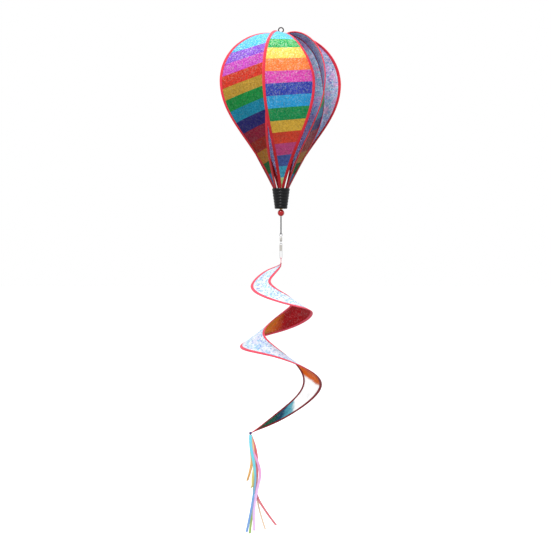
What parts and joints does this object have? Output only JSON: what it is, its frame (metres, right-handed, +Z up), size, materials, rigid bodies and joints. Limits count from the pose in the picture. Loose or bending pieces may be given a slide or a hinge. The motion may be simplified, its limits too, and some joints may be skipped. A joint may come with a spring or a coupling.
{
  "type": "hanging balloon wind spinner",
  "caption": "Hanging balloon-shaped wind spinner with curved fabric leaves, a small basket, a snap swivel, a spiral fabric tail and ribbon streamers.",
  "frame": {"origin": "centre of the hanging eye at the top of the centre wire", "axes": "+Z up along the centre wire, +X to the right seen from the front, -Y towards the front"},
  "size_m": [0.2618, 0.2576, 1.1036],
  "materials": {
    "dark_wire": "dark coated steel wire",
    "crimped_steel": "crimped tube, satin",
    "red_plastic": "gloss moulded plastic",
    "black_plastic": "semi-gloss moulded plastic with ribs",
    "cork_plug": "turned plug",
    "bush_plastic": "plain moulded bush",
    "red_bead": "gloss bead",
    "bright_wire": "bright plated wire",
    "bright_barrel": "bright plated barrel",
    "eyelet_steel": "bright pressed eyelet",
    "leaf_film": "glittery striped film cloth, silver inside",
    "tail_film": "glittery striped film cloth, silver above",
    "red_tape": "satin binding tape, stitched",
    "spring_steel": "hem spring wire",
    "streamer_knot": "wrapped thread",
    "streamer_sky": "satin ribbon",
    "streamer_coral": "satin ribbon",
    "streamer_orange": "satin ribbon",
    "streamer_yellow": "satin ribbon",
    "streamer_lilac": "satin ribbon",
    "streamer_green": "satin ribbon",
    "streamer_peach": "satin ribbon"
  },
  "bodies": {
    "wire": {"center_wire": "dark_wire", "top_stop": "crimped_steel", "bottom_stop": "crimped_steel"},
    "balloon": {"leaf_clamp_cap": "red_plastic", "leaf_clamp_washer": "red_plastic", "leaf_1_panel": "leaf_film", "leaf_1_binding": "red_tape", "leaf_1_springs": "spring_steel", "leaf_2_panel": "leaf_film", "leaf_2_binding": "red_tape", "leaf_2_springs": "spring_steel", "leaf_3_panel": "leaf_film", "leaf_3_binding": "red_tape", "leaf_3_springs": "spring_steel", "leaf_4_panel": "leaf_film", "leaf_4_binding": "red_tape", "leaf_4_springs": "spring_steel", "leaf_5_panel": "leaf_film", "leaf_5_binding": "red_tape", "leaf_5_springs": "spring_steel", "leaf_6_panel": "leaf_film", "leaf_6_binding": "red_tape", "leaf_6_springs": "spring_steel", "basket": "black_plastic", "basket_plug": "cork_plug", "basket_bush": "bush_plastic"},
    "bead": {"bead": "red_bead"},
    "swivel": {"swivel_link": "bright_wire"},
    "barrel": {"swivel_barrel": "bright_barrel", "swivel_ring": "bright_wire"},
    "snap": {"snap_frame": "bright_wire", "snap_clasp": "bright_barrel"},
    "latch": {"snap_latch": "bright_wire"},
    "tail": {"tail_tab": "red_tape", "tail_eyelet": "eyelet_steel", "tail_panel": "tail_film", "tail_outer_binding": "red_tape", "tail_inner_binding": "red_tape", "streamer_knot": "streamer_knot"},
    "streamers": {"streamer_1": "streamer_sky", "streamer_2": "streamer_coral", "streamer_3": "streamer_orange", "streamer_4": "streamer_yellow", "streamer_5": "streamer_lilac", "streamer_6": "streamer_green", "streamer_7": "streamer_peach"}
  },
  "joints": [
    {"name": "balloon_spin", "type": "hinge", "parent": "wire", "child": "balloon", "pos_m": [0, 0, -0.34095], "axis": [0, 0, 1], "continuous": true},
    {"name": "bead_spin", "type": "hinge", "parent": "wire", "child": "bead", "pos_m": [0, 0, -0.3932], "axis": [0, 0, 1], "continuous": true},
    {"name": "swivel_swing", "type": "hinge", "parent": "wire", "child": "swivel", "pos_m": [0, 0, -0.43895], "axis": [0, 1, 0], "range_deg": [-40, 40]},
    {"name": "tail_spin", "type": "hinge", "parent": "swivel", "child": "barrel", "pos_m": [0, 0, -0.445], "axis": [0, 0, 1], "continuous": true},
    {"name": "snap_swing", "type": "hinge", "parent": "barrel", "child": "snap", "pos_m": [0, 0, -0.45955], "axis": [0, 1, 0], "range_deg": [-40, 40]},
    {"name": "latch_open", "type": "hinge", "parent": "snap", "child": "latch", "pos_m": [0.0023, 0, -0.48805], "axis": [0, 1, 0], "range_deg": [0, 25]},
    {"name": "tail_swing", "type": "hinge", "parent": "snap", "child": "tail", "pos_m": [0, 0, -0.49135], "axis": [1, 0, 0], "range_deg": [-30, 30]},
    {"name": "streamer_swing", "type": "hinge", "parent": "tail", "child": "streamers", "pos_m": [-0.06671, 0.05463, -0.87411], "axis": [0, 1, 0], "range_deg": [-35, 35]}
  ]
}
